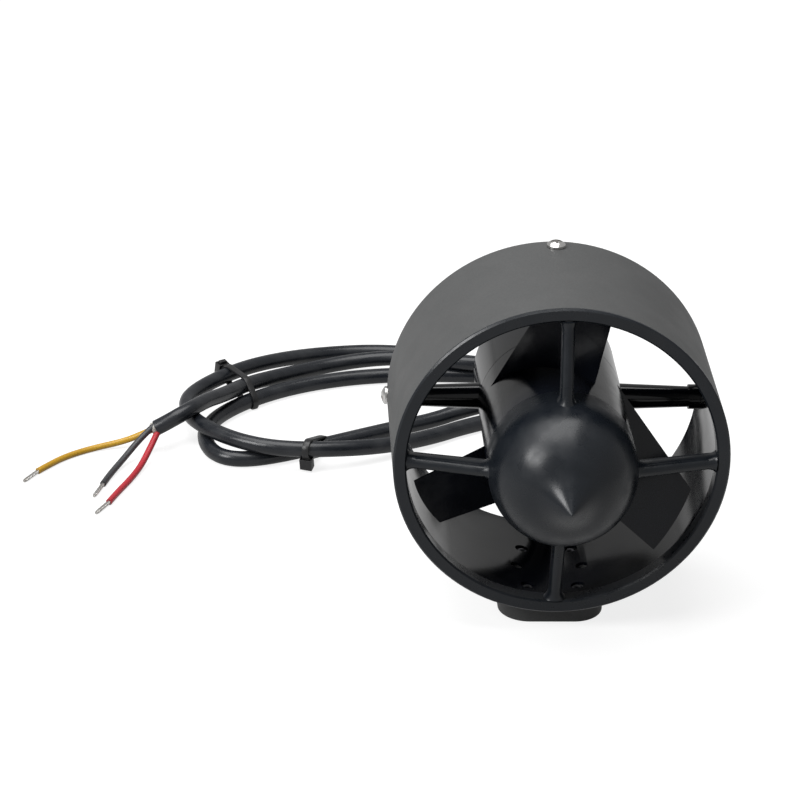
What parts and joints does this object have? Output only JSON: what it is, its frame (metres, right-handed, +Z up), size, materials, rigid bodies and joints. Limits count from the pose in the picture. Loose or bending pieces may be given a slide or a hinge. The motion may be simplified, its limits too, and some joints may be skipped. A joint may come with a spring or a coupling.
{
  "type": "underwater thruster",
  "caption": "Ducted underwater thruster with a front guard, bladed rotor on an enclosed motor, mounting foot and a tied coil of three-core cable.",
  "frame": {"origin": "centre of the mounting foot's bottom face", "axes": "+Z up, from the foot to the duct axis; the duct axis lies along Y with the intake guard and nose towards -Y"},
  "size_m": [0.3074, 0.3285, 0.1517],
  "materials": {
    "housing_plastic": "fine satin moulded charcoal plastic",
    "guard_plastic": "satin moulded charcoal plastic",
    "gloss_black": "glossy near-black moulded plastic",
    "propeller_plastic": "glossy near-black moulded plastic",
    "gland_nylon": "black nylon",
    "tie_nylon": "black nylon",
    "seal_rubber": "black rubber",
    "bush_polymer": "off-white bearing polymer",
    "tube_aluminium": "machined",
    "stainless": "polished stainless steel",
    "stator_steel": "stacked electrical steel, lacquered",
    "rotor_steel": "plated steel",
    "magnet_coating": "nickel-coloured magnet coating",
    "winding_copper": "enamelled copper wire",
    "cable_jacket": "satin charcoal cable jacket",
    "core_yellow": "yellow wire insulation",
    "core_black": "dark grey wire insulation",
    "core_red": "red wire insulation",
    "tinned_copper": "tinned copper strands"
  },
  "bodies": {
    "housing": {"duct_shroud": "housing_plastic", "front_guard": "guard_plastic", "mounting_foot": "housing_plastic", "foot_screws": "stainless", "motor_mount": "gloss_black", "strut_screws": "stainless", "rear_cover": "gloss_black", "cover_screws": "stainless", "cable_gland": "gland_nylon", "gland_nut": "gland_nylon", "gland_seal": "seal_rubber", "bearing_tube": "tube_aluminium", "front_bush": "bush_polymer", "rear_bush": "bush_polymer", "stator_core": "stator_steel", "windings": "winding_copper", "cable_lead": "cable_jacket", "cable_coil": "cable_jacket", "cable_tail": "cable_jacket", "core_yellow": "core_yellow", "core_black": "core_black", "core_red": "core_red", "tinned_ends": "tinned_copper", "tie_back": "tie_nylon", "tie_front": "tie_nylon"},
    "rotor": {"shaft": "stainless", "rotor_bell": "rotor_steel", "magnets": "magnet_coating", "propeller": "propeller_plastic", "propeller_screws": "stainless", "propeller_nut": "stainless", "retaining_clip": "rotor_steel"}
  },
  "joints": [
    {"name": "propeller_spin", "type": "hinge", "parent": "housing", "child": "rotor", "pos_m": [0, 0.0065, 0.079], "axis": [0, 1, 0], "continuous": true}
  ]
}
